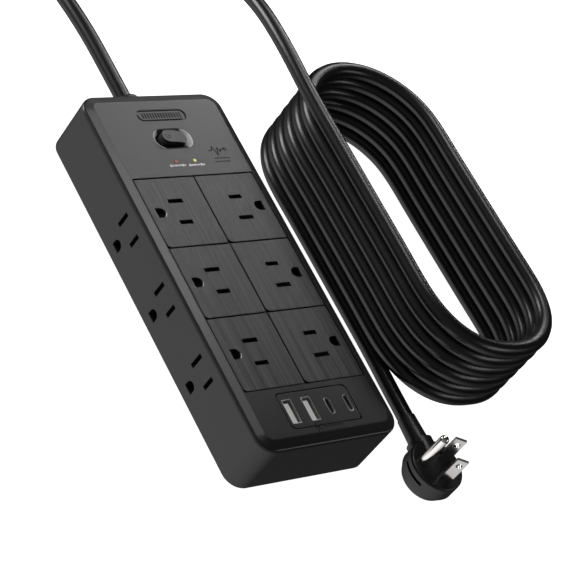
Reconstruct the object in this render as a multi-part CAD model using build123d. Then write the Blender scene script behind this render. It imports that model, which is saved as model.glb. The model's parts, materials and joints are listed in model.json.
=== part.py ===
"""Twelve-outlet surge protector strip with a rocker switch, four USB ports, a coiled cord and a flat plug.

Millimetres. The strip stands on z = 0, its long side runs along Y and the cord leaves at +Y.
"""
import math
import os

from build123d import *

# strip body
body_width = 86.0
body_length = 207.0
body_height = 34.4
corner_radius = 9.5
wall = 2.2
foot_height = 0.8
foot_radius = 5.0
label_size = (52.0, 30.0)
seam_height = 31.5
rim_slope_width = 5.2
rim_slope_height = 1.5
rim_outer_radius = 1.7
rim_inner_radius = 3.0
cover_thickness = 2.6

# outlets: two columns on top and one row along each long side
row_pitch = 41.0
middle_row = -10.25
rows = [middle_row + row_pitch * step for step in (1, 0, -1)]
column_x = 18.67
blade_offset = 6.35
ground_offset = 11.9
neutral_slot = (9.0, 2.4)
live_slot = (7.9, 2.4)
ground_hole = (5.5, 5.7)
side_slot_z = 21.9
side_ground_z = side_slot_z - ground_offset

# face tiles
tile_gap = 0.7
tile_depth = 1.2
tile_width = 37.35 - tile_gap
tile_length = row_pitch - tile_gap
tile_big_radius = 2.6
tile_small_radius = 0.7
field_half_width = 37.5

# switch
switch_x = -1.0
switch_y = 74.5
pivot_z = 28.0
rocker_half_length = 8.1
rocker_half_width = 3.6
rocker_top = 8.6
rocker_rest_tilt = 8.0
seesaw_rest_tilt = 5.0
seesaw_z = 17.6
pin_radius = 1.0
fulcrum_radius = 0.8
terminal_places = [(-6.0, 15.3), (0.0, 16.7), (6.0, 15.3)]
running_gap = 0.05

# lights, badge and USB panel
lens_radius = 1.3
lens_places = {"grounded_lens": (-5.7, 60.4), "protected_lens": (5.9, 60.4)}
badge_size = (31.0, 7.8)
badge_place = (0.4, 89.2)
panel_size = (43.0, 19.3)
panel_place = (0.5, -84.8)
port_pitch = 11.7
port_y = -85.1
port_x = [-16.4 + port_pitch * step for step in range(4)]
usb_a_size = (5.7, 13.1)
usb_c_size = (3.4, 9.2)
shell_thickness = 0.35

# fasteners
screw_places = [(36.0, 95.0), (-36.0, 95.0), (37.2, 10.25), (-37.2, 10.25), (36.0, -95.0), (-36.0, -95.0)]
post_radius = 3.3
post_top = 12.0
keyhole_y = 78.0

# cord, coil and plug
cord_diameter = 8.4
cord_radius = cord_diameter / 2
exit_height = 16.6
gland_length = 9.5
gland_radius = 7.0
coil_left_x = 81.3
coil_right_x = 165.0
coil_flare_x = 167.0
coil_far_y = 63.75
coil_near_y = -37.25
coil_near_depth = 40.5
coil_square = 2.45
plug_x, plug_y = 73.3, -115.6
plug_turn = -29.4
grip_length = 14.5
plug_height = 14.0
plug_radius = 14.7
pin_shift = (-2.0, -0.4)
pin_length = 18.9
pin_neck = 0.3
sleeve_start = (77.4, -84.6, 6.6)
sleeve_end = (75.6, -101.6, 7.9)
sleeve_length = 15.0

nodes = {}


def keep(name, shape):
    """Store one exported piece under its name."""
    nodes[name] = shape


def block(x0, x1, y0, y1, z0, z1):
    """A box between two corners."""
    return Pos((x0 + x1) / 2, (y0 + y1) / 2, (z0 + z1) / 2) * Box(abs(x1 - x0), abs(y1 - y0), abs(z1 - z0))


def rod(x, y, z0, z1, radius):
    """An upright cylinder."""
    return Pos(x, y, (z0 + z1) / 2) * Cylinder(radius, z1 - z0)


def stadium(length, width, z0, z1):
    """An upright stadium, long along X, centred on the origin."""
    return Pos(0, 0, z0) * extrude(SlotOverall(length, width), z1 - z0)


def rounded_plate(width, length, radius, z0, z1):
    """An upright rounded rectangle centred on the origin."""
    return Pos(0, 0, z0) * extrude(RectangleRounded(width, length, radius), z1 - z0)


def outlet_sketch(side, grow=0.0):
    """Three holes of one outlet, in a plane whose X points from the blades to the ground hole.

    The outlet's middle is half way between its blades. side is -1 where the long slot lies at +Y.
    """
    neutral = Pos(0, -side * blade_offset) * Rectangle(neutral_slot[0] + grow, neutral_slot[1] + grow)
    live = Pos(0, side * blade_offset) * Rectangle(live_slot[0] + grow, live_slot[1] + grow)
    arch = Pos(ground_offset, 0) * Circle(ground_hole[1] / 2 + grow / 2)
    half = Pos(ground_offset + 1.3, 0) * Rectangle(2.6 + grow, ground_hole[1] + grow)
    trim = Pos(ground_offset - 0.2, 0) * Rectangle(ground_hole[0] + grow, ground_hole[1] + grow)
    return neutral + live + ((arch + half) & trim)


def top_outlet(side, y, z0, z1, grow=0.0):
    """The cutter of one top outlet: the left column has its ground hole at -X."""
    holes = extrude(outlet_sketch(side, grow), z1 - z0)
    if side < 0:
        holes = mirror(holes, Plane.YZ)
    return Pos(side * column_x, y, z0) * holes


def side_outlet(side, y, depth, grow=0.0):
    """The cutter of one outlet in a long side wall, with its ground hole low."""
    holes = extrude(outlet_sketch(side, grow), depth, both=True)
    upright = Rot(0, 90, 0) * holes
    return Pos(side * body_width / 2, y, side_slot_z) * upright


# ---------------------------------------------------------------- shells

def base_case():
    outer = rounded_plate(body_width, body_length, corner_radius, foot_height, seam_height)
    outer = fillet(outer.edges().group_by(Axis.Z)[0], 1.6)
    outer = fillet(outer.edges().group_by(Axis.Z)[-1], 0.4)
    cavity = rounded_plate(body_width - 2 * wall, body_length - 2 * wall, corner_radius - wall,
                           foot_height + wall, 40)
    case = outer - cavity
    for x, y in screw_places:
        case += rod(x, y, foot_height + wall - 0.1, post_top, post_radius)
    for x, y in screw_places:
        case -= rod(x, y, 0, post_top - 3.0, 2.6) + rod(x, y, 0, post_top + 1, 1.7)
    for side in (-1, 1):
        for y in rows:
            case -= side_outlet(side, y, wall + 1.5)
    for sign in (-1, 1):
        head = rod(0, sign * keyhole_y, 0, 5, 4.2)
        neck = block(-2.1, 2.1, sign * keyhole_y, sign * keyhole_y + 9, 0, 5)
        case -= head + neck + rod(0, sign * keyhole_y + 9, 0, 5, 2.1)
    for x, y in foot_places():
        case -= rod(x, y, 0, 2 * foot_height, foot_radius + 0.1)
    case -= rounded_plate(label_size[0] + 0.4, label_size[1] + 0.4, 1.5, 0, foot_height + 0.3)
    case -= Pos(0, body_length / 2, exit_height) * Rot(90, 0, 0) * Cylinder(5.05, 3 * wall)
    for sign in (-1, 1):
        post = rod(sign * 11.0, 92.5, foot_height + wall - 0.1, 10.0, 3.0)
        case += post - rod(sign * 11.0, 92.5, 3, 11, 1.2)
    return case


def foot_places():
    return [(sx * 33.0, sy * 82.0) for sx in (-1, 1) for sy in (-1, 1)]


def top_cover():
    outline = RectangleRounded(body_width, body_length, corner_radius)
    slope_angle = math.degrees(math.atan(rim_slope_width / rim_slope_height))
    slope_z = body_height - rim_slope_height
    cover = Pos(0, 0, seam_height) * extrude(outline, slope_z - seam_height)
    cover += Pos(0, 0, slope_z) * extrude(outline, rim_slope_height, taper=slope_angle)
    cover = fillet(cover.edges().filter_by_position(Axis.Z, slope_z - 0.01, slope_z + 0.01), rim_outer_radius)
    cover = fillet(cover.edges().group_by(Axis.Z)[-1], rim_inner_radius)
    cavity = rounded_plate(body_width - 14, body_length - 14, 4,
                           seam_height - 1, body_height - cover_thickness)
    cover -= cavity
    inner_width, inner_length = body_width - 2 * wall, body_length - 2 * wall
    lip = rounded_plate(inner_width - 0.2, inner_length - 0.2, 7.2, seam_height - 2, seam_height)
    lip -= rounded_plate(inner_width - 2.6, inner_length - 2.6, 6, seam_height - 3, seam_height + 1)
    for y in rows:
        lip -= block(-50, 50, y - 12, y + 12, seam_height - 3, seam_height)
    cover += lip
    for x, y in screw_places:
        cover += rod(x, y, post_top, body_height - cover_thickness + 0.1, post_radius)
    for x, y in screw_places:
        cover -= rod(x, y, post_top - 1, 26, 1.25)
    field_y = [rows[0] + row_pitch / 2, rows[-1] - row_pitch / 2]
    cover -= Pos(0, sum(field_y) / 2, 0) * rounded_plate(
        2 * field_half_width, row_pitch * 3 + tile_gap, 1.0, body_height - tile_depth, 40)
    for side in (-1, 1):
        for y in rows:
            far, near = side * (column_x - 5.5), side * (column_x + 15.4)
            cover -= block(far, near, y - 8.6, y + 8.6, seam_height - 1, 40)
    cover -= Pos(panel_place[0], panel_place[1], 0) * panel_outline(0.6, body_height - tile_depth, 40)
    for x, size in zip(port_x, port_sizes()):
        cover -= Pos(x, port_y, 0) * rounded_plate(size[0] + 1.0, size[1] + 1.0, 1.2, seam_height - 1, 40)
    badge_recess = stadium(badge_size[0], badge_size[1], body_height - 0.8, 40)
    cover -= Pos(badge_place[0], badge_place[1], 0) * badge_recess
    cover -= Pos(0, switch_y, 0) * stadium(23.9, 12.7, seam_height - 1, 40)
    for x, y in lens_places.values():
        cover -= rod(x, y, seam_height - 1, 40, lens_radius + 0.05)
    return cover


def panel_outline(grow, z0, z1):
    """The USB panel's outline: two corners are rounder than the others."""
    width, length = panel_size[0] + grow, panel_size[1] + grow
    plate = Rectangle(width, length)
    far_right = plate.vertices().sort_by(Axis.X)[-2:].sort_by(Axis.Y)[-1]
    near_left = plate.vertices().sort_by(Axis.X)[:2].sort_by(Axis.Y)[0]
    far_left = plate.vertices().sort_by(Axis.X)[:2].sort_by(Axis.Y)[-1]
    near_right = plate.vertices().sort_by(Axis.X)[-2:].sort_by(Axis.Y)[0]
    plate = fillet([far_right, near_left], 3.0)
    corners = [v for v in plate.vertices() if (v.center() - far_left.center()).length < 0.1
               or (v.center() - near_right.center()).length < 0.1]
    plate = fillet(corners, 1.7)
    return Pos(0, 0, z0) * extrude(plate, z1 - z0)


def port_sizes():
    return [usb_a_size, usb_a_size, usb_c_size, usb_c_size]


def outlet_tile(side, y):
    """One brushed face tile: its near, left corner is well rounded."""
    outline = Rectangle(tile_width, tile_length)
    near_left = outline.vertices().sort_by(Axis.X)[:2].sort_by(Axis.Y)[0]
    place = near_left.center()
    outline = fillet(near_left, tile_big_radius)
    others = [v for v in outline.vertices() if (v.center() - place).length > tile_big_radius + 0.1]
    outline = fillet(others, tile_small_radius)
    centre_x = side * (tile_width + tile_gap) / 2
    plate = Pos(centre_x, y, body_height - tile_depth) * extrude(outline, tile_depth - 0.1)
    plate = chamfer(plate.edges().group_by(Axis.Z)[-1], 0.2)
    return plate - top_outlet(side, y, body_height - 3, body_height + 1)


def usb_panel():
    plate = panel_outline(-0.4, body_height - tile_depth, body_height - 0.05)
    plate = Pos(panel_place[0], panel_place[1], 0) * plate
    for x, size in zip(port_x, port_sizes()):
        radius = 0.5 if size is usb_a_size else size[0] / 2 - 0.01
        plate -= Pos(x, port_y, 0) * rounded_plate(size[0] + 0.1, size[1] + 0.1, radius, 30, 40)
    return plate


def badge_plate():
    plate = stadium(badge_size[0] - 0.2, badge_size[1] - 0.2, body_height - 0.8, body_height - 0.1)
    groove = stadium(badge_size[0] - 0.8, badge_size[1] - 0.8, body_height - 0.6, body_height)
    groove -= stadium(badge_size[0] - 2.9, badge_size[1] - 2.9, body_height - 0.6, body_height)
    return Pos(badge_place[0], badge_place[1], 0) * (plate - groove)


def rubber_feet():
    pads = []
    for x, y in foot_places():
        pad = rod(x, y, 0, 2 * foot_height, foot_radius)
        pads.append(fillet(pad.edges().sort_by(Axis.Z)[0], 0.4))
    return Compound(children=pads)


def rating_label():
    """A blank plate let into the underside."""
    return rounded_plate(*label_size, 1.3, foot_height + 0.05, foot_height + 0.3)


def case_screws():
    """Self-tapping screws: pan head in the counterbore, shank into the cover's boss."""
    screws = []
    for x, y in screw_places:
        head_z = post_top - 3.0
        head = fillet(rod(x, y, head_z - 1.6, head_z, 2.3).edges().sort_by(Axis.Z)[0], 0.6)
        slot = block(x - 1.4, x + 1.4, y - 0.3, y + 0.3, head_z - 2, head_z - 0.9)
        slot += block(x - 0.3, x + 0.3, y - 1.4, y + 1.4, head_z - 2, head_z - 0.9)
        screws.append(head - slot + rod(x, y, head_z - 0.1, head_z + 13.0, 1.2))
    return Compound(children=screws)


# ---------------------------------------------------------------- contacts

def contact_carrier(side):
    """An insulating shelf under the cover with a skirt behind the side wall."""
    y0, y1 = rows[-1] - 20.0, rows[0] + 20.0
    x0, x1, skirt = side * 9.5, side * 40.3, side * 38.3
    carrier = block(x0, x1, y0, y1, 28.6, 29.4) + block(skirt, x1, y0, y1, 5.0, 29.0)
    carrier += block(x0, x0 + side * 1.2, y0, y1, 24.0, 29.0)
    for y in rows:
        carrier -= top_outlet(side, y, 20, 36, 0.8)
        carrier -= side_outlet(side, y, 9, 0.8)
    for x, y in screw_places[2:4]:
        carrier -= rod(x, y, 0, 40, post_radius + 0.6)
    return carrier


def leaves(x, y, along, z0, z1):
    """Two spring leaves that grip one blade."""
    pair = block(x - along / 2, x + along / 2, y - 1.5, y - 0.9, z0, z1)
    return pair + block(x - along / 2, x + along / 2, y + 0.9, y + 1.5, z0, z1)


def power_bus(side, slot_sign, strip_x, strip_z):
    """A pressed brass strip with a tab, a top clip and a side clip in each row."""
    y0, y1 = rows[-1] - 14.0, rows[0] + 18.0
    bus = block(side * strip_x - 0.4, side * strip_x + 0.4, y0, y1, strip_z[0], strip_z[1])
    for row in rows:
        y = row + slot_sign * side * blade_offset
        bus += block(side * (strip_x - 0.4), side * 37.0, y - 1.5, y + 1.5, 17.0, 17.6)
        bus += block(side * strip_x - 0.4, side * strip_x + 0.4, y - 1.5, y + 1.5, strip_z[0], 17.6)
        if strip_x > column_x:
            bus += block(side * 15.2, side * strip_x, y - 1.5, y + 1.5, 17.0, 17.6)
        bus += leaves(side * column_x, y, 6.6, 17.5, 27.8)
        bus += leaves(side * 32.0, y, 9.6, 17.5, 26.4)
    return bus


def ground_bus(side):
    """A flat strip with a socket tube for each upright and each level ground pin."""
    y0, y1 = rows[-1] - 12.0, rows[0] + 18.0
    x = side * (column_x + ground_offset)
    bus = block(x - side * 3.5, x + side * 2.8, y0, y1, 3.6, 4.4)
    for row in rows:
        upright = rod(x, row, 15.0, 27.6, 3.5)
        legs = block(x - 1.2, x + 1.2, row - 4.2, row - 3.3, 4.3, 16.5)
        legs += block(x - 1.2, x + 1.2, row + 3.3, row + 4.2, 4.3, 16.5)
        tube_wall = Cylinder(3.1, 10.0) - Cylinder(2.6, 12.0)
        level = Pos(side * 31.5, row, side_ground_z) * Rot(0, 90, 0) * tube_wall
        web = block(x - 2.5, x + 2.5, row - 0.8, row + 0.8, 4.3, side_ground_z - 2.7)
        bus += (upright + legs) - rod(x, row, 14.5, 30, 2.9)
        bus += level + web
    return bus


# ---------------------------------------------------------------- switch

def switch_frame():
    """The switch's tub: a dished bezel on top, walls around the rocker and a floor for the see-saw."""
    bezel = Pos(0, switch_y, 0) * stadium(23.5, 12.3, seam_height - 0.6, body_height - 0.05)
    dish = Pos(0, switch_y, body_height - 1.5) * loft([
        Pos(switch_x, 0) * SlotOverall(17.7, 7.9), Pos(0, 0, 1.6) * SlotOverall(23.0, 11.8)])
    flange = Pos(0, switch_y, 0) * stadium(26.5, 15.0, seam_height - 1.3, seam_height - 0.6 + 0.3)
    tub = block(switch_x - 10.0, switch_x + 10.0, switch_y - 5.6, switch_y + 5.6, 9.0, seam_height - 0.6)
    frame = bezel + flange + tub
    frame -= dish
    frame -= Pos(switch_x, switch_y, 0) * stadium(17.7, 7.9, 24.0, 40.0)
    frame -= block(switch_x - 8.85, switch_x + 8.85, switch_y - 3.95, switch_y + 3.95, 12.0, 26.0)
    bores = Pos(switch_x, switch_y, pivot_z) * Rot(90, 0, 0) * Cylinder(pin_radius + running_gap, 10.8)
    for offset, _ in terminal_places:
        x = switch_x + offset
        frame -= block(x - 1.55, x + 1.55, switch_y - 0.45, switch_y + 0.45, 8, 13)
    return frame - bores


def rocker_button():
    """A stadium button with two facets, two pivot pins and a boss for the plunger."""
    body = stadium(2 * rocker_half_length, 2 * rocker_half_width, -1.0, rocker_top + 1)
    facets = Pos(0, 0, rocker_top) * (Rot(0, -5, 0) * Pos(-9, 0, 1.5) * Box(20, 12, 3)
                                      + Rot(0, 5, 0) * Pos(9, 0, 1.5) * Box(20, 12, 3))
    body -= facets
    hollow = stadium(2 * rocker_half_length - 2.4, 2 * rocker_half_width - 2.4, -2.0, 4.2)
    boss = Pos(0, 0, 0.5) * Cylinder(2.6, 10.0)
    pins = Rot(90, 0, 0) * Cylinder(pin_radius, 2 * rocker_half_width + 2.2)
    button = (body - hollow) + boss + pins
    button -= Pos(0, 0, -1.75) * Cylinder(1.6, 8.5)
    return Pos(switch_x, switch_y, pivot_z) * Rot(0, rocker_rest_tilt, 0) * button


def rocker_plunger():
    pin = Pos(0, 0, -5.5) * Cylinder(1.5, 4.0) + Pos(0, 0, -7.5) * Sphere(1.5)
    return Pos(switch_x, switch_y, pivot_z) * Rot(0, rocker_rest_tilt, 0) * pin


def rocker_spring():
    """A short coil spring above the plunger."""
    path = Helix(pitch=1.0, height=4.6, radius=1.05)
    wire = sweep(Plane(origin=path @ 0, z_dir=path % 0) * Circle(0.17), path=path)
    return Pos(switch_x, switch_y, pivot_z) * Rot(0, rocker_rest_tilt, 0) * Pos(0, 0, -3.15) * wire


def contact_seesaw():
    """A brass see-saw with a rolled fulcrum over the middle terminal and a contact point at each end."""
    arm = block(-7.0, 7.0, -2.0, 2.0, -0.4, 0.4) + Rot(90, 0, 0) * Cylinder(fulcrum_radius, 4.0)
    arm += block(-7.0, -5.0, -1.2, 1.2, -1.0, 0.0) + block(5.0, 7.0, -1.2, 1.2, -1.0, 0.0)
    return Pos(switch_x, switch_y, seesaw_z) * Rot(0, -seesaw_rest_tilt, 0) * arm


def switch_terminals():
    """Three blades through the switch's floor: the middle one carries the see-saw."""
    blades = []
    for offset, top in terminal_places:
        x = switch_x + offset
        blades.append(block(x - 1.5, x + 1.5, switch_y - 0.4, switch_y + 0.4, 4.2, top))
    return Compound(children=blades)


# ---------------------------------------------------------------- electronics

def surge_board():
    board = block(-36.5, 36.5, 54.5, 88.0, 5.0, 6.6)
    for offset, _ in terminal_places:
        x = switch_x + offset
        board -= block(x - 1.6, x + 1.6, switch_y - 0.5, switch_y + 0.5, 4, 8)
    for x, y in ((33.0, 82.0), (-33.0, 82.0)):
        board -= rod(x, y, 4, 8, 1.6)
    return board


def varistors():
    """Three discs on edge beside the switch."""
    discs = []
    for y in (64.0, 73.0, 82.0):
        disc = Pos(24.0, y, 14.4) * Rot(90, 0, 0) * Cylinder(7.0, 4.2)
        discs.append(fillet(disc.edges(), 1.2) + block(21.0, 21.8, y - 0.4, y + 0.4, 6.6, 9.0)
                     + block(26.2, 27.0, y - 0.4, y + 0.4, 6.6, 9.0))
    return Compound(children=discs)


def filter_capacitor():
    box = block(-31.0, -16.0, 62.0, 70.0, 6.6, 20.0)
    return fillet(box.edges().filter_by(Axis.Z), 1.0)


def thermal_fuse():
    barrel = Pos(-23.5, 80.0, 9.6) * Rot(0, 90, 0) * Cylinder(1.9, 10.0)
    legs = block(-30.0, -29.4, 79.7, 80.3, 6.6, 9.9) + block(-17.6, -17.0, 79.7, 80.3, 6.6, 9.9)
    wire = block(-30.0, -17.0, 79.7, 80.3, 9.3, 9.9)
    return fillet(barrel.edges(), 0.5) + legs + wire


def indicator_leds():
    lamps = []
    for x, y in lens_places.values():
        lamp = rod(x, y, 24.0, 28.0, 1.5) + Pos(x, y, 28.0) * Sphere(1.5) + rod(x, y, 23.4, 24.2, 1.9)
        lamps.append(lamp + block(x - 0.9, x - 0.5, y - 0.2, y + 0.2, 6.6, 24.0)
                     + block(x + 0.5, x + 0.9, y - 0.2, y + 0.2, 6.6, 24.0))
    return Compound(children=lamps)


def lens(x, y):
    """A light pipe from the lamp to the face."""
    pipe = rod(x, y, 29.7, body_height + 0.15, lens_radius)
    return fillet(pipe.edges().sort_by(Axis.Z)[-1], 0.35) + rod(x, y, 30.4, 31.6, 2.0)


def usb_board():
    board = block(-31.0, 31.0, -96.5, -75.5, 14.0, 15.6)
    for x, y in ((-28.5, -78.0), (28.5, -78.0)):
        board -= rod(x, y, 13, 17, 1.5)
    return board


def usb_transformer():
    core = block(-31.0, -21.5, -91.5, -81.5, 15.6, 25.0)
    coil = Pos(-26.25, -86.5, 20.3) * Rot(90, 0, 0) * Cylinder(4.2, 13.0)
    return fillet(core.edges().filter_by(Axis.Z), 0.6) + coil


def usb_capacitors():
    cans = [fillet(rod(26.6, y, 15.6, 26.0, 3.1).edges().sort_by(Axis.Z)[-1], 0.6) for y in (-92.0, -84.5)]
    return Compound(children=cans)


def usb_shell(x, size, radius):
    """A drawn metal sleeve, open at the top."""
    outer = rounded_plate(size[0], size[1], radius, 15.6, body_height - 0.25)
    inner = rounded_plate(size[0] - 2 * shell_thickness, size[1] - 2 * shell_thickness,
                          radius - shell_thickness, 16.4, 40)
    return Pos(x, port_y, 0) * (outer - inner)


def usb_tongue(x, size):
    """The contact tongue: it stands off centre in a wide port and in the middle of a narrow one."""
    if size is usb_a_size:
        return block(x - 2.2, x + 0.6, port_y - 6.1, port_y + 4.6, 16.4, body_height - 0.6)
    return block(x - 0.35, x + 0.35, port_y - 3.2, port_y + 3.2, 16.4, body_height - 1.4)


# ---------------------------------------------------------------- cord entry and wires

def cord_gland():
    """The moulded collar in the end wall: outer collar, neck through the wall, inner flange."""
    end = body_length / 2
    parts = Cylinder(gland_radius, gland_length, align=(Align.CENTER, Align.CENTER, Align.MIN))
    parts = fillet(parts.edges().sort_by(Axis.Z)[-1], 1.6)
    neck = Pos(0, 0, -wall - 0.1) * Cylinder(4.95, wall + 0.2, align=(Align.CENTER, Align.CENTER, Align.MIN))
    flange = Pos(0, 0, -wall - 2.2) * Cylinder(6.4, 2.1, align=(Align.CENTER, Align.CENTER, Align.MIN))
    collar = parts + neck + flange
    collar -= Cylinder(cord_radius + 0.15, 40)
    return Pos(0, end, exit_height) * Rot(-90, 0, 0) * collar


def cord_clamp():
    """A saddle bar over the cord, on two posts."""
    bar = block(-14.0, 14.0, 89.0, 96.0, 10.05, 23.0)
    bar -= block(-20, -7.2, 80, 100, 13.0, 30) + block(7.2, 20, 80, 100, 13.0, 30)
    bar -= Pos(0, 92.5, exit_height) * Rot(90, 0, 0) * Cylinder(cord_radius + 0.15, 20)
    bar -= block(-cord_radius - 0.15, cord_radius + 0.15, 80, 100, 5, exit_height)
    return bar - rod(11.0, 92.5, 5, 20, 1.6) - rod(-11.0, 92.5, 5, 20, 1.6)


def clamp_screws():
    screws = []
    for x in (-11.0, 11.0):
        head = fillet(rod(x, 92.5, 13.0, 14.6, 2.4).edges().sort_by(Axis.Z)[-1], 0.7)
        screws.append(head + rod(x, 92.5, 5.5, 13.1, 1.1) - block(x - 1.6, x + 1.6, 92.2, 92.8, 13.9, 15))
    return Compound(children=screws)


def smooth_path(points):
    """Straight runs joined by arcs as large as the runs allow."""
    spots = [Vector(*p) for p in points]
    radii = []
    for a, b, c in zip(spots, spots[1:], spots[2:]):
        shorter = min((b - a).length, (c - b).length)
        radii.append(0.45 * shorter / math.tan(math.radians((b - a).get_angle(c - b) / 2)))
    return FilletPolyline(*spots, radius=radii), radii


def tube(points, radius, name):
    """A plain round tube along a route."""
    path, radii = smooth_path(points)
    solid = sweep(Plane(origin=path @ 0, z_dir=path % 0) * Circle(radius), path=path)
    true_volume = math.pi * radius ** 2 * path.length
    print(f"{name}: length {path.length:.1f}, radii {[round(r) for r in radii]}, "
          f"volume ratio {solid.volume / true_volume:.4f}")
    return solid


live_wire_route = [(0.0, 86.4, 18.2), (0.6, 83.4, 16.6), (0.4, 82.0, 12.6), (0.9, 82.6, 7.9)]
neutral_wire_route = [(-1.6, 86.4, 15.4), (-4.6, 84.2, 13.8), (-8.4, 83.8, 11.4), (-9.6, 84.2, 7.9)]
ground_wire_route = [(1.6, 86.4, 15.4), (4.6, 84.2, 13.8), (8.4, 83.8, 11.4), (9.6, 84.2, 7.9)]


# ---------------------------------------------------------------- cord

def level(number):
    """The height of a strand's middle in the stack of turns."""
    return cord_diameter * (number - 0.5)


feed_route = [
    (0.0, 86.5, exit_height), (0.1, 126.0, exit_height + 0.1), (0.0, 166.5, exit_height - 0.3),
    (-1.6, 208.0, 11.5), (-5.4, 242.0, 4.2), (-3.0, 276.0, 4.3), (20.5, 306.0, 4.2), (58.0, 311.0, 4.3),
    (88.0, 288.0, 4.2), (96.5, 252.0, 7.0), (95.0, 217.0, 20.0), (91.5, 183.0, 37.5), (87.5, 149.0, 50.5),
    (83.4, 116.0, level(7) + 0.4), (coil_left_x, coil_far_y + 18.0, level(7)),
]
tail_route = [
    (coil_left_x, coil_near_y + 6.0, level(1)), (coil_left_x - 0.3, -48.0, level(1) + 0.1),
    (coil_left_x - 2.0, -66.0, level(1) + 0.9), sleeve_start,
]


def leg_x(y):
    """The right leg spreads a little towards the near bend."""
    return coil_right_x + (coil_flare_x - coil_right_x) * (coil_far_y - y) / (coil_far_y - coil_near_y)


def coil_line(offset):
    """The closed outline of the turns, moved outwards by an offset."""
    middle_far = (coil_left_x + coil_right_x) / 2
    half_far = (coil_right_x - coil_left_x) / 2 + offset
    middle_near = (coil_left_x + coil_flare_x) / 2
    half_near = (coil_flare_x - coil_left_x) / 2 + offset
    far_bend = ThreePointArc((middle_far + half_far, coil_far_y), (middle_far, coil_far_y + half_far),
                             (middle_far - half_far, coil_far_y))
    near_points = []
    for step in range(13):
        angle = math.pi + math.pi * step / 12
        c, s = math.cos(angle), math.sin(angle)
        reach = (abs(c) ** coil_square + abs(s) ** coil_square) ** (-1 / coil_square)
        near_points.append((middle_near + half_near * reach * c,
                            coil_near_y + (coil_near_depth + offset) * reach * s))
    near_bend = Spline(*near_points, tangents=[(0, -1), (0, 1)])
    left_leg = Line(far_bend @ 1, near_bend @ 0)
    right_leg = Line(near_bend @ 1, far_bend @ 0)
    return make_face(far_bend + left_leg + near_bend + right_leg)


def cord_coil():
    """One closed solid of the coil's outer shape: six turns high, seven along the left leg."""
    ring = extrude(coil_line(cord_radius) - coil_line(-cord_radius), 7 * cord_diameter)
    six = 6 * cord_diameter
    step_x = (coil_left_x + coil_right_x) / 2
    step = block(step_x - 20, 250, -200, 200, six, 100)
    step += block(0, 250, coil_far_y + 18.0, 200, six, 100)
    slope = Plane.XZ * make_face(Polyline(
        (coil_left_x + cord_radius + 2, 100), (coil_left_x + cord_radius + 2, 7 * cord_diameter),
        (step_x - 19, six), (step_x - 19, 100), close=True))
    return ring - step - extrude(slope, 200, both=True)


# ---------------------------------------------------------------- plug

def plug_frame(shape):
    """From the pins' own frame, with X from the ground pin to the blades, to its place."""
    return Pos(plug_x + pin_shift[0], plug_y + pin_shift[1], 0) * Rot(0, 0, plug_turn) * shape


def sleeve_plane():
    """The plane of the sleeve's cord end, facing the plug."""
    return Plane(origin=Vector(*sleeve_start), z_dir=Vector(*sleeve_end) - Vector(*sleeve_start))


def plug_body():
    """A flat round plug lying on its back, with a neck towards its sleeve and its pins upwards."""
    waist_z = 5.0
    body = loft([Circle(plug_radius - 2.6), Pos(0, 0, waist_z) * Circle(plug_radius)])
    body += Pos(0, 0, waist_z) * extrude(Circle(plug_radius), plug_height - waist_z)
    body = fillet(body.edges().group_by(Axis.Z)[-1], 1.4)
    body = fillet(body.edges().group_by(Axis.Z)[0], 1.6)
    body = Pos(plug_x, plug_y, 0) * body
    neck = sleeve_plane() * Pos(0, 0, sleeve_length) * extrude(Circle(cord_radius + 2.6), 9.0)
    body += neck
    for pin in (plug_ground_pin(), plug_blade(blade_offset), plug_blade(-blade_offset)):
        body -= pin
    grip = block(-plug_radius - 1, -plug_radius + 2.2, -grip_length / 2, grip_length / 2, 8.9, 10.5)
    return body - Pos(plug_x, plug_y, 0) * grip


def plug_strain_relief():
    return sleeve_plane() * loft([
        Circle(cord_radius + 0.5), Pos(0, 0, sleeve_length) * Circle(cord_radius + 1.0)])


def plug_blade(offset):
    blade = block(-3.1, 3.1, -0.75, 0.75, plug_height - 3, plug_height + 17.0)
    blade = chamfer(blade.edges().group_by(Axis.Z)[-1], 0.45)
    blade -= Pos(0, 0, plug_height + 12.6) * Rot(90, 0, 0) * Cylinder(1.6, 4)
    return plug_frame(Pos(4.9, offset, 0) * blade)


def plug_ground_pin():
    tip = plug_height + pin_length
    pin = rod(0, 0, plug_height + pin_neck, tip, 2.4) + Pos(0, 0, tip) * Sphere(2.4)
    pin += rod(0, 0, plug_height - 3, plug_height + pin_neck + 0.1, 2.0)
    return plug_frame(Pos(-7.0, 0, 0) * pin)


# ---------------------------------------------------------------- all pieces

keep("base_case", base_case())
keep("top_cover", top_cover())
for number, (side, y) in enumerate([(side, y) for y in rows for side in (-1, 1)], 1):
    keep(f"outlet_tile_{number}", outlet_tile(side, y))
keep("usb_panel", usb_panel())
keep("badge_plate", badge_plate())
keep("rubber_feet", rubber_feet())
keep("rating_label", rating_label())
keep("case_screws", case_screws())
for side, word in ((-1, "left"), (1, "right")):
    keep(f"contact_carrier_{word}", contact_carrier(side))
    keep(f"neutral_bus_{word}", power_bus(side, -1, 12.6, (17.0, 22.0)))
    keep(f"live_bus_{word}", power_bus(side, 1, 24.5, (13.2, 15.8)))
    keep(f"ground_bus_{word}", ground_bus(side))
keep("switch_frame", switch_frame())
keep("rocker_button", rocker_button())
keep("rocker_plunger", rocker_plunger())
keep("rocker_spring", rocker_spring())
keep("contact_seesaw", contact_seesaw())
keep("switch_terminals", switch_terminals())
keep("surge_board", surge_board())
keep("varistors", varistors())
keep("filter_capacitor", filter_capacitor())
keep("thermal_fuse", thermal_fuse())
keep("indicator_leds", indicator_leds())
for name, place in lens_places.items():
    keep(name, lens(*place))
keep("usb_board", usb_board())
keep("usb_transformer", usb_transformer())
keep("usb_capacitors", usb_capacitors())
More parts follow.
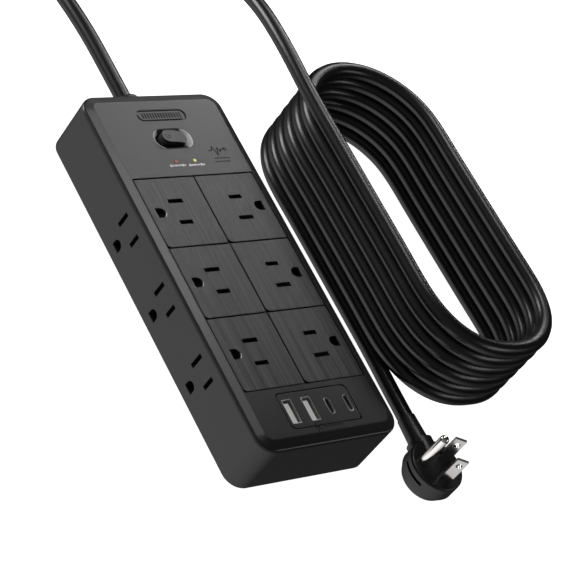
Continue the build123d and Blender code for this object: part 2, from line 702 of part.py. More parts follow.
for number, x in enumerate(port_x[:2], 1):
    keep(f"usb_a_shell_{number}", usb_shell(x, usb_a_size, 0.5))
    keep(f"usb_a_tongue_{number}", usb_tongue(x, usb_a_size))
for number, x in enumerate(port_x[2:], 1):
    keep(f"usb_c_shell_{number}", usb_shell(x, usb_c_size, 1.69))
    keep(f"usb_c_tongue_{number}", usb_tongue(x, usb_c_size))
keep("cord_gland", cord_gland())
keep("cord_clamp", cord_clamp())
keep("clamp_screws", clamp_screws())
keep("live_wire", tube(live_wire_route, 1.2, "live_wire"))
keep("neutral_wire", tube(neutral_wire_route, 1.2, "neutral_wire"))
keep("ground_wire", tube(ground_wire_route, 1.2, "ground_wire"))
keep("cord_feed", tube(feed_route, cord_radius, "cord_feed"))
keep("cord_coil", cord_coil())
keep("cord_tail", tube(tail_route, cord_radius, "cord_tail"))
keep("plug_body", plug_body())
keep("plug_strain_relief", plug_strain_relief())
keep("plug_live_blade", plug_blade(blade_offset))
keep("plug_neutral_blade", plug_blade(-blade_offset))
keep("plug_ground_pin", plug_ground_pin())

os.makedirs("parts", exist_ok=True)
for name, shape in nodes.items():
    export_step(shape, f"parts/{name}.step")
print(len(nodes), "nodes")
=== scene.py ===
import json
import math

import bmesh
import bpy
from mathutils import Matrix, Vector


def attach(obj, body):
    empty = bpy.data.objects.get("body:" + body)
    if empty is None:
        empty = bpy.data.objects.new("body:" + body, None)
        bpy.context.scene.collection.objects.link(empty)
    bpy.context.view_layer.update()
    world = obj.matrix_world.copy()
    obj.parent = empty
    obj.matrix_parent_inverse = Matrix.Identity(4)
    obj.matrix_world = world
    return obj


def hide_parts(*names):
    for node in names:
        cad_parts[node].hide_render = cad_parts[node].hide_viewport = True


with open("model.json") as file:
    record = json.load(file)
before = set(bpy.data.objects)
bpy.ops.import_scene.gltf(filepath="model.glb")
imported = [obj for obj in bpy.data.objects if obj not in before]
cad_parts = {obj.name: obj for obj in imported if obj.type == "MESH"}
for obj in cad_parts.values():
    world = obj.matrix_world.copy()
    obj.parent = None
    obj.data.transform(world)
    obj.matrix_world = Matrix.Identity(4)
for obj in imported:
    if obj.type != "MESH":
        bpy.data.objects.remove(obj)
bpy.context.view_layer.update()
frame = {"nodes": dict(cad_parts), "record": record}
nodes = frame["nodes"]
mm = 0.001

# camera, floor and lights

cameraView = {
    "place": (-0.67370, -0.44381, 0.70868),
    "looksAlong": (0.65721, 0.40100, -0.63818),
    "roll": 39.95,                 # degrees, anticlockwise in the picture
    "lens": 136.9,                 # mm on a 36 mm sensor
}


def makeCamera():
    data = bpy.data.cameras.new("camera")
    data.lens = cameraView["lens"]
    data.sensor_width = 36.0
    data.clip_start = 0.05
    data.clip_end = 60.0
    camera = bpy.data.objects.new("camera", data)
    bpy.context.scene.collection.objects.link(camera)
    aim = Vector(cameraView["looksAlong"]).to_track_quat("-Z", "Y").to_matrix().to_4x4()
    roll = Matrix.Rotation(math.radians(cameraView["roll"]), 4, "Z")
    camera.matrix_world = Matrix.Translation(cameraView["place"]) @ aim @ roll
    bpy.context.scene.camera = camera
    print("camera made")


studio = {
    "floorSize": 30.0,
    "floorDrop": 0.2 * mm,         # keeps the floor clear of the feet
    "floorGlow": 1.0,
    "ambient": 0.36,
    "leastAmbient": 0.05,
    "leftShare": (-0.85, -0.30, -0.10),     # direction in which the surroundings grow brighter
    "darkBand": (-0.30, -0.55, 0.18, 1.3),       # heights of view and their shares: bright only from below
    "lights": [
        # name, place, aims at, size, power
        ("keySoftbox", (0.42, 0.52, 0.46), (0.0, 0.08, 0.03), (0.40, 0.34), 1.0),
        ("edgeStrip", (0.72, 0.47, 0.40), (0.03, 0.03, 0.03), (0.42, 0.06), 1.1),
        ("leftRearStrip", (-0.56, 1.05, 0.22), (0.09, 0.13, 0.03), (0.50, 0.45), 8.0),
        ("overhead", (0.14, 0.42, 0.83), (0.0, 0.03, 0.03), (0.26, 0.24), 1.5),
        ("nearRightStrip", (0.60, -0.65, 0.40), (0.0, -0.10, 0.03), (0.5, 0.10), 0.9),
    ],
}


def addLight(name, place, aim, size, power):
    data = bpy.data.lights.new(name, "AREA")
    data.shape = "RECTANGLE"
    data.size = size[0]
    data.size_y = size[1]
    data.energy = power
    light = bpy.data.objects.new(name, data)
    bpy.context.scene.collection.objects.link(light)
    turn = (Vector(aim) - Vector(place)).to_track_quat("-Z", "Y")
    light.matrix_world = Matrix.Translation(place) @ turn.to_matrix().to_4x4()


def makeStudio():
    mesh = bpy.data.meshes.new("floor")
    shape = bmesh.new()
    bmesh.ops.create_grid(shape, x_segments=1, y_segments=1, size=studio["floorSize"] / 2)
    bmesh.ops.translate(shape, verts=shape.verts, vec=(0.0, 0.0, -studio["floorDrop"]))
    shape.to_mesh(mesh)
    shape.free()
    floor = bpy.data.objects.new("floor", mesh)
    bpy.context.scene.collection.objects.link(floor)
    floor.visible_diffuse = False
    floor.visible_glossy = False
    paint = Paint("floorPaint", roughness=0.9, colour=(0.9, 0.9, 0.9))
    paint.fix("Emission Color", (1.0, 1.0, 1.0, 1.0))
    paint.fix("Emission Strength", studio["floorGlow"])
    mesh.materials.append(paint.material)
    for row in studio["lights"]:
        addLight(*row)
    world = bpy.data.worlds.new("studio")
    world.use_nodes = True
    bpy.context.scene.world = world
    fillWorld(world.node_tree)
    bpy.context.scene.view_settings.view_transform = "Standard"
    print("studio made")


def worldMath(tree, operation, value=None):
    made = tree.nodes.new("ShaderNodeMath")
    made.operation = operation
    if value is not None:
        made.inputs[1].default_value = value
    return made


def fillWorld(tree):
    # plain white to the camera, shaded by direction to everything else
    backdrop = tree.nodes["Background"]
    seen = tree.nodes.new("ShaderNodeBackground")
    backdrop.inputs["Color"].default_value = (1.0, 1.0, 1.0, 1.0)
    towards = tree.nodes.new("ShaderNodeTexCoord")
    lean = tree.nodes.new("ShaderNodeVectorMath")
    lean.operation = "DOT_PRODUCT"
    lean.inputs[1].default_value = studio["leftShare"]
    total = worldMath(tree, "ADD", studio["ambient"])
    leastLevel = worldMath(tree, "MAXIMUM", studio["leastAmbient"])
    parts = tree.nodes.new("ShaderNodeSeparateXYZ")
    band = tree.nodes.new("ShaderNodeMapRange")
    for key, value in zip(("From Min", "From Max", "To Min", "To Max"), studio["darkBand"]):
        band.inputs[key].default_value = value
    product = worldMath(tree, "MULTIPLY")
    tree.links.new(towards.outputs["Generated"], lean.inputs[0])
    tree.links.new(towards.outputs["Generated"], parts.inputs[0])
    tree.links.new(parts.outputs["Z"], band.inputs["Value"])
    tree.links.new(lean.outputs["Value"], total.inputs[0])
    tree.links.new(total.outputs[0], leastLevel.inputs[0])
    tree.links.new(leastLevel.outputs[0], product.inputs[0])
    tree.links.new(band.outputs["Result"], product.inputs[1])
    tree.links.new(product.outputs[0], backdrop.inputs["Strength"])
    path = tree.nodes.new("ShaderNodeLightPath")
    choice = tree.nodes.new("ShaderNodeMixShader")
    seen.inputs["Color"].default_value = (1.0, 1.0, 1.0, 1.0)
    tree.links.new(path.outputs["Is Camera Ray"], choice.inputs[0])
    tree.links.new(backdrop.outputs[0], choice.inputs[1])
    tree.links.new(seen.outputs[0], choice.inputs[2])
    tree.links.new(choice.outputs[0], tree.nodes["World Output"].inputs["Surface"])


# shader sums

class Wire:
    # one output socket; sums on it add Math nodes
    def __init__(self, paint, socket):
        self.paint = paint
        self.socket = socket

    def sum(self, operation, left, right):
        return self.paint.node("ShaderNodeMath", {"operation": operation}, {0: left, 1: right})

    def __add__(self, other):
        return self.sum("ADD", self, other)

    def __radd__(self, other):
        return self.sum("ADD", other, self)

    def __rsub__(self, other):
        return self.sum("SUBTRACT", other, self)

    def __mul__(self, other):
        return self.sum("MULTIPLY", self, other)

    def __abs__(self):
        return self.sum("ABSOLUTE", self, 0.0)


class Paint:
    # one material round a Principled shader
    def __init__(self, name, colour=(0.02, 0.02, 0.02), roughness=0.5, metallic=0.0):
        self.material = bpy.data.materials.new(name)
        self.material.use_nodes = True
        self.tree = self.material.node_tree
        self.shader = self.tree.nodes["Principled BSDF"]
        self.fix("Base Color", (*colour, 1.0))
        self.fix("Roughness", roughness)
        self.fix("Metallic", metallic)
        self.material.diffuse_color = (*colour, 1.0)

    def fix(self, name, value):
        self.shader.inputs[name].default_value = value

    def feed(self, name, value):
        self.tree.links.new(value.socket, self.shader.inputs[name])

    def node(self, kind, settings=None, inputs=None, output=0):
        made = self.tree.nodes.new(kind)
        for key, value in (settings or {}).items():
            if key == "stops":
                self.setStops(made.color_ramp, value)
            else:
                setattr(made, key, value)
        for key, value in (inputs or {}).items():
            if isinstance(value, Wire):
                self.tree.links.new(value.socket, made.inputs[key])
            else:
                made.inputs[key].default_value = value
        return Wire(self, made.outputs[output])

    def setStops(self, ramp, stops):
        ramp.elements[0].position, ramp.elements[1].position = stops[0][0], stops[-1][0]
        for place, _ in stops[1:-1]:
            ramp.elements.new(place)
        for element, (_, shade) in zip(ramp.elements, stops):
            element.color = (shade, shade, shade, 1.0)

    def place(self, scale=(1.0, 1.0, 1.0), centre=(0.0, 0.0, 0.0)):
        # object coordinates, moved so that centre is the origin, then stretched
        spot = self.node("ShaderNodeTexCoord", output="Object")
        moved = self.node("ShaderNodeVectorMath", {"operation": "SUBTRACT"}, {0: spot, 1: centre})
        return self.node("ShaderNodeMapping", {"vector_type": "POINT"},
                         {"Vector": moved, "Scale": scale})

    def noise(self, where, scale, detail=2.0, rough=0.5):
        return self.node("ShaderNodeTexNoise", {"noise_dimensions": "3D"},
                         {"Vector": where, "Scale": scale, "Detail": detail, "Roughness": rough})

    def ramp(self, value, *stops):
        return self.node("ShaderNodeValToRGB", {"stops": stops}, {"Fac": value})

    def above(self, axis, low, high):
        # 0 below the low height in millimetres, 1 above the high one
        spot = self.node("ShaderNodeTexCoord", output="Object")
        part = self.node("ShaderNodeSeparateXYZ", None, {0: spot}, output=axis)
        return self.between(part, low * mm, high * mm)

    def between(self, value, low, high):
        return self.node("ShaderNodeMapRange", {"clamp": True},
                         {"Value": value, "From Min": low, "From Max": high, "To Min": 0.0, "To Max": 1.0})

    def blend(self, share, first, second):
        # share 0 gives the first colour
        return self.node("ShaderNodeMix", {"data_type": "RGBA"},
                         {"Factor": share, "A": first, "B": second}, output="Result")

    def bump(self, height, depth, strength=1.0):
        return self.node("ShaderNodeBump", None, {"Height": height, "Distance": depth, "Strength": strength},
                         output="Normal")


# cord: from the gland, round behind the strip, six turns, then the plug

cordSizes = {
    "radius": 4.2 * mm,
    "jacketSteps": 5,              # bevel resolution
    "routeSteps": 6,
    "leftX": 81.3 * mm,
    "rightX": 165.0 * mm,
    "flareX": 167.0 * mm,
    "farY": 63.75 * mm,
    "nearY": -37.25 * mm,
    "nearDepth": 40.5 * mm,
    "squareness": 2.45,            # 2 is an ellipse
    "turns": 6,
    "legStops": (0.24, 0.52, 0.79),        # shares of a straight leg
    "lastStops": (0.24, 0.52, 0.75),
    "nearSteps": 13,               # control points on a bend
    "farSteps": 11,
    "dropStart": 12.0,             # degrees of the near bend over which a turn steps down
    "dropEnd": 128.0,
}

# millimetres: out of the gland, round on the floor, and up over the coil
feedRoute = [
    (0.0, 86.5, 16.6), (0.1, 126.0, 16.7), (0.0, 166.5, 16.3), (-1.6, 208.0, 11.5), (-5.4, 242.0, 4.2),
    (-3.0, 276.0, 4.3), (20.5, 306.0, 4.2), (58.0, 311.0, 4.3), (88.0, 288.0, 4.2), (96.5, 252.0, 7.0),
    (95.0, 217.0, 20.0), (91.5, 183.0, 37.5), (87.5, 149.0, 50.5), (83.4, 116.0, 55.0), (81.3, 81.75, 54.6),
]
tailRoute = [(81.3, -31.25, 4.2), (81.0, -48.0, 4.3), (79.3, -66.0, 5.1), (77.4, -84.6, 6.6)]


def levelZ(number):
    return 2 * cordSizes["radius"] * (number - 0.5)


def smoothStep(value):
    share = min(1.0, max(0.0, value))
    return share * share * (3 - 2 * share)


def rightLegX(y):
    c = cordSizes
    return c["rightX"] + (c["flareX"] - c["rightX"]) * (c["farY"] - y) / (c["farY"] - c["nearY"])


def nearBend(level):
    # a squarish half turn from the left leg to the right one, a level lower at its end
    c = cordSizes
    count = c["nearSteps"]
    middle, half = (c["leftX"] + c["flareX"]) / 2, (c["flareX"] - c["leftX"]) / 2
    grow = 1 / math.cos(math.pi / (count - 1) / 2)         # control points stand outside the curve
    points = []
    for step in range(count):
        angle = math.pi * step / (count - 1)
        across, along = -math.cos(angle), -math.sin(angle)
        reach = (abs(across) ** c["squareness"] + abs(along) ** c["squareness"]) ** (-1 / c["squareness"])
        share = (math.degrees(angle) - c["dropStart"]) / (c["dropEnd"] - c["dropStart"])
        points.append((middle + half * reach * grow * across,
                       c["nearY"] + c["nearDepth"] * reach * grow * along,
                       levelZ(level - smoothStep(share))))
    return points


def farBend(level):
    # a level half turn from the right leg back to the left one
    c = cordSizes
    count = c["farSteps"]
    middle, half = (c["leftX"] + c["rightX"]) / 2, (c["rightX"] - c["leftX"]) / 2
    grow = 1 / math.cos(math.pi / (count - 1) / 2)
    points = []
    for step in range(count):
        angle = math.pi * step / (count - 1)
        points.append((middle + half * grow * math.cos(angle), c["farY"] + half * grow * math.sin(angle),
                       levelZ(level)))
    return points


def coilPoints():
    c = cordSizes
    points = []
    for turn in range(c["turns"]):
        level = c["turns"] + 1 - turn
        stops = [c["farY"] + (c["nearY"] - c["farY"]) * share for share in c["legStops"]]
        points += [(c["leftX"], y, levelZ(level)) for y in stops]
        points += nearBend(level)
        points += [(rightLegX(y), y, levelZ(level - 1)) for y in reversed(stops)]
        points += farBend(level - 1)
    lastStops = [c["farY"] + (c["nearY"] - c["farY"]) * share for share in c["lastStops"]]
    return points + [(c["leftX"], y, levelZ(1)) for y in lastStops]


def makeCord():
    route = [Vector(p) * mm for p in feedRoute]
    route += [Vector(p) for p in coilPoints()]
    route += [Vector(p) * mm for p in tailRoute]
    data = bpy.data.curves.new("cord", "CURVE")
    data.dimensions = "3D"
    spline = data.splines.new("NURBS")
    spline.points.add(len(route) - 1)
    for point, place in zip(spline.points, route):
        point.co = (*place, 1.0)
        point.radius = cordSizes["radius"]
    spline.order_u = 3
    spline.use_endpoint_u = True
    spline.resolution_u = cordSizes["routeSteps"]
    data.bevel_depth = 1.0         # times each point's radius
    data.bevel_resolution = cordSizes["jacketSteps"]
    data.use_fill_caps = True
    cord = bpy.data.objects.new("cord", data)
    bpy.context.scene.collection.objects.link(cord)
    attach(cord, "strip")
    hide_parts("cord_feed", "cord_coil", "cord_tail")
    print("cord made")
    return cord


# finishes

def mouldedPlastic(name, dark, pale, roughness, grain=2600.0, depth=0.00003):
    # moulded skin: fine spark-eroded grain and a slow change of tone
    paint = Paint(name, colour=dark, roughness=roughness)
    spot = paint.place()
    slow = paint.noise(spot, 18.0, detail=3.0)
    fine = paint.noise(spot, grain, detail=2.0)
    tone = slow * 0.7 + fine * 0.3
    paint.feed("Base Color", paint.blend(tone, (*dark, 1.0), (*pale, 1.0)))
    paint.feed("Roughness", roughness - 0.06 + slow * 0.12)
    paint.feed("Normal", paint.bump(fine, depth, 0.5))
    return paint


# painted shade: near black for the walls inside the outlet holes
paintedHoleShade = (0.0008, 0.0008, 0.0008, 1.0)       # the inside edges of the outlet holes


def brushedFace(name):
    # long lines of uneven width and tone along the strip
    paint = Paint(name, roughness=0.42)
    wide = paint.noise(paint.place(scale=(330.0, 5.0, 1.0)), 1.0, detail=3.0, rough=0.6)
    thin = paint.noise(paint.place(scale=(1500.0, 9.0, 1.0), centre=(0.0, 0.3, 0.0)), 1.0, detail=2.0,
                       rough=0.7)
    lines = paint.ramp(wide * 0.6 + thin * 0.4, (0.41, 0.0), (0.5, 0.42), (0.60, 1.0))
    # below the face level, on the hole walls, the colour is painted shade
    top = paint.above("Z", 33.9, 34.1)
    tone = paint.blend(lines, (0.002, 0.002, 0.0022, 1.0), (0.048, 0.049, 0.050, 1.0))
    paint.feed("Base Color", paint.blend(top, paintedHoleShade, tone))
    paint.feed("Roughness", 0.36 + lines * 0.12 + (1.0 - top) * 0.5)
    paint.feed("Normal", paint.bump(lines, 0.0001, 0.8))
    return paint


def caseShell(name):
    # the long sides are satin, and the edges round their outlets are painted near black as painted shade
    dark, pale = (0.018, 0.018, 0.019), (0.026, 0.026, 0.027)
    paint = mouldedPlastic(name, dark, pale, 0.46)
    spot = paint.node("ShaderNodeTexCoord", output="Object")
    across = paint.node("ShaderNodeSeparateXYZ", None, {0: spot}, output="X")
    along = paint.node("ShaderNodeSeparateXYZ", None, {0: spot}, output="Y")
    inward = paint.between(abs(across), 42.5 * mm, 42.3 * mm)
    rows = paint.between(abs(along + 10.25 * mm), 60 * mm, 58 * mm)
    # mask of the outlet edges that get painted shade
    paintedEdgeShade = inward * rows
    skin = paint.blend(paint.noise(spot, 18.0, detail=3.0), (*dark, 1.0), (*pale, 1.0))
    paint.feed("Base Color", paint.blend(paintedEdgeShade, skin, paintedHoleShade))
    paint.feed("Roughness", 0.44 + paintedEdgeShade * 0.5)
    return paint


def switchTub(name):
    # painted shade, near black, in the middle, and a painted highlight, light grey, on the scooped ends
    paint = Paint(name, roughness=0.4)
    spot = paint.node("ShaderNodeTexCoord", output="Object")
    across = paint.node("ShaderNodeSeparateXYZ", None, {0: spot}, output="X")
    paintedLitEnds = paint.between(abs(across + 0.4 * mm), 6.6 * mm, 8.0 * mm) * paint.above("Z", 31.0, 32.6)
    paint.feed("Base Color", paint.blend(paintedLitEnds, (0.002, 0.002, 0.002, 1.0), (0.62, 0.62, 0.63, 1.0)))
    paint.feed("Roughness", 0.35 + (1.0 - paintedLitEnds) * 0.3)
    return paint


def metal(name, colour, roughness, marks=900.0):
    paint = Paint(name, colour=colour, roughness=roughness, metallic=1.0)
    fine = paint.noise(paint.place(), marks, detail=3.0)
    slow = paint.noise(paint.place(), 60.0, detail=2.0)
    paint.feed("Roughness", roughness - 0.05 + slow * 0.1)
    darker = tuple(channel * 0.8 for channel in colour)
    paint.feed("Base Color", paint.blend(slow, (*darker, 1.0), (*colour, 1.0)))
    paint.feed("Normal", paint.bump(fine, 0.00001, 0.3))
    return paint


def cordJacket(name):
    # extruded jacket: near black, a soft gloss with faint scuffs
    paint = Paint(name, colour=(0.012, 0.012, 0.013), roughness=0.3)
    spot = paint.place()
    slow = paint.noise(spot, 45.0, detail=3.0)
    paint.feed("Base Color", paint.blend(slow, (0.006, 0.006, 0.007, 1.0), (0.011, 0.011, 0.012, 1.0)))
    paint.feed("Roughness", 0.27 + slow * 0.08)
    return paint


def lensGlow(name, colour, dim, glow, centre, strength):
    # a light pipe that is brightest over its lamp
    paint = Paint(name, colour=colour, roughness=0.3)
    paint.fix("Emission Strength", strength)
    spot = paint.place(scale=(1.0, 1.0, 0.0), centre=(centre[0] * mm, centre[1] * mm, 0.0))
    away = paint.node("ShaderNodeVectorMath", {"operation": "LENGTH"}, {0: spot}, output="Value")
    share = paint.between(away, 0.95 * mm, 0.25 * mm)
    paint.feed("Emission Color", paint.blend(share, (*dim, 1.0), (*glow, 1.0)))
    return paint


def makeFinishes():
    made = {
        "case_shell": caseShell("caseShell"),
        "cover_shell": mouldedPlastic("coverShell", (0.015, 0.015, 0.016), (0.021, 0.021, 0.022), 0.34),
        "brushed_face": brushedFace("brushedFace"),
        "black_moulding": mouldedPlastic("blackMoulding", (0.010, 0.010, 0.010), (0.016, 0.016, 0.017), 0.4),
        "rocker_gloss": mouldedPlastic("rockerGloss", (0.012, 0.012, 0.013), (0.020, 0.020, 0.021), 0.4,
                                       depth=0.00001),
        "insulator": mouldedPlastic("insulator", (0.002, 0.002, 0.002), (0.004, 0.004, 0.004), 0.85),
        "switch_tub": switchTub("switchTub"),
        "contact_brass": metal("contactBrass", (0.72, 0.52, 0.22), 0.3),
        "screw_steel": metal("screwSteel", (0.52, 0.52, 0.53), 0.32),
        "spring_steel": metal("springSteel", (0.55, 0.55, 0.56), 0.25),
        "port_metal": metal("portMetal", (0.80, 0.80, 0.81), 0.42),
        "port_white": mouldedPlastic("portWhite", (0.78, 0.78, 0.76), (0.88, 0.88, 0.87), 0.35,
                                     depth=0.00001),
        "port_black": mouldedPlastic("portBlack", (0.008, 0.008, 0.008), (0.014, 0.014, 0.014), 0.4),
        "lens_red": lensGlow("lensRed", (0.10, 0.01, 0.012), (0.12, 0.0, 0.005), (0.62, 0.04, 0.07),
                             (-5.7, 60.4), 0.5),
        "lens_green": lensGlow("lensGreen", (0.10, 0.11, 0.01), (0.14, 0.13, 0.0), (1.0, 1.0, 0.55),
                               (5.9, 60.4), 0.9),
        "foot_rubber": mouldedPlastic("footRubber", (0.014, 0.014, 0.014), (0.022, 0.022, 0.022), 0.8,
                                      grain=1400.0),
        "label_film": mouldedPlastic("labelFilm", (0.42, 0.42, 0.43), (0.5, 0.5, 0.51), 0.4),
        "board_laminate": mouldedPlastic("boardLaminate", (0.01, 0.09, 0.03), (0.02, 0.14, 0.05), 0.4),
        "varistor_coat": mouldedPlastic("varistorCoat", (0.01, 0.06, 0.3), (0.02, 0.1, 0.4), 0.3),
        "capacitor_yellow": mouldedPlastic("capacitorYellow", (0.6, 0.42, 0.02), (0.7, 0.52, 0.04), 0.35),
        "fuse_sleeve": mouldedPlastic("fuseSleeve", (0.7, 0.68, 0.6), (0.8, 0.78, 0.72), 0.5),
        "led_clear": mouldedPlastic("ledClear", (0.7, 0.7, 0.7), (0.85, 0.85, 0.85), 0.15, depth=0.00001),
        "transformer_tape": mouldedPlastic("transformerTape", (0.6, 0.45, 0.03), (0.72, 0.58, 0.08), 0.35),
        "can_aluminium": mouldedPlastic("canSleeve", (0.01, 0.02, 0.1), (0.02, 0.03, 0.16), 0.3),
        "cord_jacket": cordJacket("cordJacket"),
        "wire_black": mouldedPlastic("wireBlack", (0.012, 0.012, 0.012), (0.02, 0.02, 0.02), 0.4),
        "wire_white": mouldedPlastic("wireWhite", (0.7, 0.7, 0.7), (0.8, 0.8, 0.8), 0.4),
        "wire_green": mouldedPlastic("wireGreen", (0.02, 0.2, 0.04), (0.03, 0.28, 0.06), 0.4),
        "plug_moulding": mouldedPlastic("plugMoulding", (0.012, 0.012, 0.013), (0.019, 0.019, 0.020), 0.38),
        "pin_nickel": metal("pinNickel", (0.78, 0.77, 0.75), 0.18),
    }
    print(len(made), "finishes made")
    return made


def paintNodes(finishes):
    slots = {row["node"]: row["material_slot"] for row in frame["record"]["subparts"]}
    for name, node in nodes.items():
        node.data.materials.clear()
        node.data.materials.append(finishes[slots[name]].material)
    print(len(nodes), "nodes painted")


# small printed and pressed details, and painted glints

def addPiece(name, body, slotName, shape):
    mesh = bpy.data.meshes.new(name)
    shape.to_mesh(mesh)
    shape.free()
    piece = bpy.data.objects.new(name, mesh)
    bpy.context.scene.collection.objects.link(piece)
    mesh.materials.append(finishes[slotName].material)
    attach(piece, body)
    return piece


def addBar(shape, centre, size, turn=0.0, place=Matrix()):
    # a small block, turned about the vertical, in millimetres
    scale = Matrix.Diagonal((*[value * mm for value in size], 1.0))
    spin = Matrix.Rotation(math.radians(turn), 4, "Z")
    spot = Matrix.Translation([value * mm for value in centre])
    bmesh.ops.create_cube(shape, size=1.0, matrix=place @ spot @ spin @ scale)


printThick = 0.06                  # millimetres, for every printed mark


def addStroke(shape, start, end, width, top):
    # a printed line that runs a quarter of its width past both ends
    middle = ((start[0] + end[0]) / 2, (start[1] + end[1]) / 2, top - printThick / 2)
    reach = (end[0] - start[0], end[1] - start[1])
    size = (math.hypot(*reach) + width * 0.5, width, printThick)
    addBar(shape, middle, size, math.degrees(math.atan2(reach[1], reach[0])))


def addRing(shape, ring, count, width, top):
    # so many twelfths of a circle, drawn as strokes
    x, y, radius = ring
    spots = [(x + radius * math.cos(math.pi * step / 6), y + radius * math.sin(math.pi * step / 6))
             for step in range(count + 1)]
    for start, end in zip(spots, spots[1:]):
        addStroke(shape, start, end, width, top)


lightLabels = {
    "places": ((-5.8, 57.9), (5.9, 57.7)),
    "marks": (1.3, 0.9, 1.5, 0.8, 1.2, 1.4, 0.9),      # widths of the dashes
    "gap": 0.3,
    "height": 1.2,
    "tallMarks": (0, 5),           # the first and sixth dash stand a little taller
    "tallShare": 1.15,
    "lowShare": 0.8,
    "top": 34.43,
}


def makeLightLabels():
    g = lightLabels
    shape = bmesh.new()
    for x, y in g["places"]:
        across = x - (sum(g["marks"]) + g["gap"] * (len(g["marks"]) - 1)) / 2
        for number, width in enumerate(g["marks"]):
            tall = g["height"] * (g["tallShare"] if number in g["tallMarks"] else g["lowShare"])
            addBar(shape, (across + width / 2, y, g["top"] - printThick / 2), (width, tall, printThick))
            across += width + g["gap"]
    addPiece("lightLabels", "strip", "port_white", shape)
    print("light labels made")


pulseMark = {
    "line": ((17.6, 65.9), (19.6, 65.9), (20.8, 68.6), (22.3, 62.6), (23.6, 67.6), (24.7, 64.9), (25.6, 66.4),
             (27.0, 66.4)),
    "ring": (28.2, 66.4, 0.85),
    "width": 0.55,
    "underlines": ((23.9, 61.0, 10.2), (22.9, 58.9, 9.8)),      # x, y, length
    "dashes": 7,
    "dashGap": 0.45,
    "dashHeight": 0.75,
    "top": 34.43,
}


def makePulseMark():
    g = pulseMark
    shape = bmesh.new()
    for start, end in zip(g["line"], g["line"][1:]):
        addStroke(shape, start, end, g["width"], g["top"])
    addRing(shape, g["ring"], 12, g["width"] * 0.8, g["top"])
    for x, y, length in g["underlines"]:
        for number in range(g["dashes"]):
            across = x - length / 2 + length * (number + 0.5) / g["dashes"]
            addBar(shape, (across, y, g["top"] - printThick / 2),
                   (length / g["dashes"] - g["dashGap"], g["dashHeight"], printThick))
    addPiece("pulseMark", "strip", "insulator", shape)
    print("pulse mark made")


panelMark = {
    "bolt": ((-6.6, -92.9), (-7.9, -95.4), (-5.9, -95.2), (-7.2, -97.6)),
    "ring": (-4.2, -95.3, 1.35),
    "boltWidth": 0.6,
    "ringWidth": 0.5,
    "dashes": ((-1.4, 1.6), (0.6, 1.2), (2.5, 1.7), (4.6, 1.3), (6.6, 1.6), (8.5, 1.1)),      # x, width
    "dashHeight": 1.5,
    "y": -95.2,
    "top": 34.43,
}


def makePanelMark():
    g = panelMark
    shape = bmesh.new()
    for start, end in zip(g["bolt"], g["bolt"][1:]):
        addStroke(shape, start, end, g["boltWidth"], g["top"])
    addRing(shape, g["ring"], 9, g["ringWidth"], g["top"])
    for x, width in g["dashes"]:
        addBar(shape, (x, g["y"], g["top"] - printThick / 2), (width, g["dashHeight"], printThick))
    addPiece("panelMark", "strip", "insulator", shape)
    print("panel mark made")


badgeRibs = {
    "centre": (0.4, 89.2),
    "count": 15,
    "pitch": 1.65,
    "rib": (0.75, 3.3, 0.16),
    "top": 34.38,
}


def makeBadgeRibs():
    g = badgeRibs
    shape = bmesh.new()
    for number in range(g["count"]):
        x = g["centre"][0] + g["pitch"] * (number - (g["count"] - 1) / 2)
        addBar(shape, (x, g["centre"][1], g["top"] - g["rib"][2] / 2), g["rib"])
    addPiece("badgeRibs", "strip", "insulator", shape)
    print("badge ribs made")


rockerMark = {
    "pivot": (-1.0, 74.5, 28.0),
    "tilt": 8.0,                   # degrees, left end up
    "centre": -4.9,
    "facet": (8.6, 5.0),           # height at the middle, degrees of fall
    "radius": 1.25,
    "arc": (0.42, 0.75, 0.04),     # one block of the open ring
    "bar": (1.5, 0.4, 0.04),
    "barShift": 0.9,
    "height": 0.01,
}


def makeRockerMark():
    # a plain ring and bar on the raised end of the button
    g = rockerMark
    body = Matrix.Translation([value * mm for value in g["pivot"]])
    body = body @ Matrix.Rotation(math.radians(g["tilt"]), 4, "Y")
    facet = Matrix.Translation((0.0, 0.0, g["facet"][0] * mm))
    facet = facet @ Matrix.Rotation(math.radians(-g["facet"][1]), 4, "Y")
    place = body @ facet
    shape = bmesh.new()
    for step in range(10):
        angle = math.pi * 2 * step / 12 + math.pi * 2 / 3
        x, y = g["centre"] + g["radius"] * math.cos(angle), g["radius"] * math.sin(angle)
        addBar(shape, (x, y, g["height"]), g["arc"], math.degrees(angle), place)
    addBar(shape, (g["centre"] + g["barShift"], 0.0, g["height"]), g["bar"], 0.0, place)
    addPiece("rockerMark", "rocker", "insulator", shape)
    print("rocker mark made")


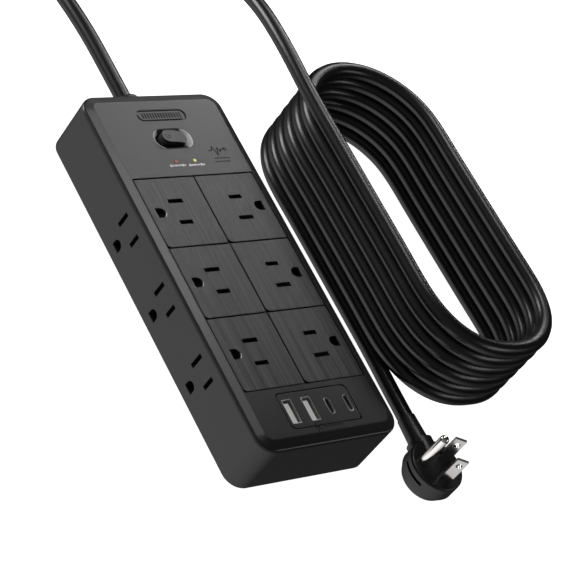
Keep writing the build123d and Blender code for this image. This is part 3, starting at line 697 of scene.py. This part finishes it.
portContacts = {
    "wideX": (-16.4, -4.7),
    "narrowX": (7.0, 18.7),
    "y": -85.1,
    "z": 29.0,
    "widePads": (-4.3, -1.9, 0.5, 2.9),
    "wideShift": 0.63,
    "widePad": (0.1, 1.0, 8.0),
    "narrowCount": 6,
    "narrowStart": -2.5,
    "narrowShift": 0.37,
    "narrowPad": (0.06, 0.5, 6.0),
}


def makePortContacts():
    # four pads beside each wide tongue, six each side of the narrow ones
    g = portContacts
    shape = bmesh.new()
    for x in g["wideX"]:
        for shift in g["widePads"]:
            addBar(shape, (x + g["wideShift"], g["y"] + shift, g["z"]), g["widePad"])
    for x in g["narrowX"]:
        for side in (-1, 1):
            for step in range(g["narrowCount"]):
                along = g["y"] + g["narrowStart"] + step
                addBar(shape, (x + side * g["narrowShift"], along, g["z"]), g["narrowPad"])
    addPiece("portContacts", "strip", "contact_brass", shape)
    print("port contacts made")


# painted highlights: pale crescents at the left ground holes
paintedGroundGlints = {
    "rows": (30.75, -10.25, -51.25),
    "x": -30.57,
    "radii": (2.66, 3.05),
    "lean": -30.0,                 # degrees from the blades' direction
    "spread": 28.0,                # degrees to either side
    "steps": 8,
    "top": 34.33,
}


def makePaintedGroundGlints():
    # a painted glint: a pale flat crescent for the bright lip of each left ground hole, on the side towards
    # the blades
    g = paintedGroundGlints
    shape = bmesh.new()
    count = g["steps"]
    for y in g["rows"]:
        columns = []
        for step in range(count + 1):
            angle = math.radians(g["lean"] + g["spread"] * (2 * step / count - 1))
            columns.append([shape.verts.new(((g["x"] + radius * math.cos(angle)) * mm,
                                             (y + radius * math.sin(angle)) * mm, g["top"] * mm))
                            for radius in g["radii"]])
        for left, right in zip(columns, columns[1:]):
            shape.faces.new((left[0], left[1], right[1], right[0]))
    addPiece("paintedGroundGlints", "strip", "port_white", shape)
    print("ground lips made")


makeCamera()
cord = makeCord()
makeStudio()
finishes = makeFinishes()
paintNodes(finishes)
cord.data.materials.append(finishes["cord_jacket"].material)
makeLightLabels()
makePulseMark()
makePanelMark()
makeBadgeRibs()
makeRockerMark()
makePortContacts()
makePaintedGroundGlints()

bpy.context.view_layer.update()
